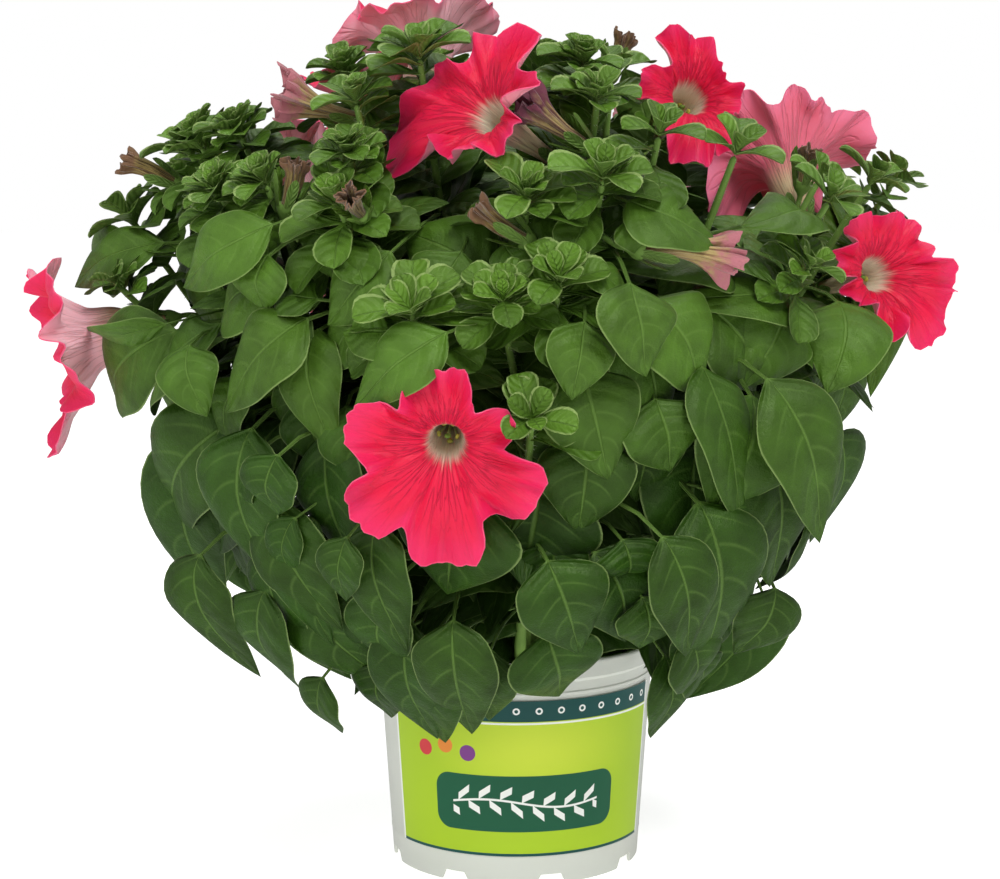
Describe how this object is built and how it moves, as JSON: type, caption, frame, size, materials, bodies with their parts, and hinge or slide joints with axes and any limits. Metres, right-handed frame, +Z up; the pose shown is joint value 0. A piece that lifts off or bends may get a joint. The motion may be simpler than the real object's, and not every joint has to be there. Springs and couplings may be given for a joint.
{
  "type": "potted petunia plant",
  "caption": "Bushy flowering petunia with ovate leaves, trumpet blooms and withered blooms, standing in soil in a small tapered plastic nursery pot with a label round its front.",
  "frame": {"origin": "centre of the pot's underside, on the plane that it stands on", "axes": "+Z up along the pot's axis, -Y towards the label and the viewer of the picture, +X to that viewer's right"},
  "size_m": [0.377, 0.3642, 0.3654],
  "materials": {
    "pot": "satin",
    "label": "satin",
    "soil": "matte",
    "leaf": "matte",
    "petal": "matte",
    "stamen": "matte",
    "withered": "matte"
  },
  "bodies": {
    "root": {"pot": "pot", "label": "label", "soil": "soil", "stem_01": "leaf", "stem_02": "leaf", "stem_03": "leaf", "stem_04": "leaf", "stem_05": "leaf", "stem_06": "leaf", "stem_07": "leaf", "stem_08": "leaf", "stem_09": "leaf", "stem_10": "leaf", "stem_11": "leaf", "stem_12": "leaf", "stem_13": "leaf", "stem_14": "leaf", "stem_15": "leaf", "stem_16": "leaf", "stem_17": "leaf", "stem_18": "leaf", "stem_19": "leaf", "stem_20": "leaf", "stem_21": "leaf", "stem_22": "leaf", "stem_23": "leaf", "stem_24": "leaf", "stem_25": "leaf", "bloom_01": "petal", "bloom_02": "petal", "bloom_03": "petal", "bloom_04": "petal", "bloom_05": "petal", "bloom_06": "petal", "bloom_07": "petal", "bloom_08": "petal", "bloom_09": "petal", "bloom_10": "petal", "bloom_11": "petal", "stamens_01": "stamen", "stamens_02": "stamen", "stamens_03": "stamen", "stamens_04": "stamen", "stamens_05": "stamen", "stamens_06": "stamen", "stamens_07": "stamen", "stamens_08": "stamen", "stamens_09": "stamen", "stamens_10": "stamen", "stamens_11": "stamen", "withered_01": "withered", "withered_02": "withered", "withered_03": "withered", "withered_04": "withered", "withered_05": "withered", "withered_06": "withered", "withered_07": "withered", "withered_08": "withered", "withered_09": "withered"}
  },
  "joints": []
}
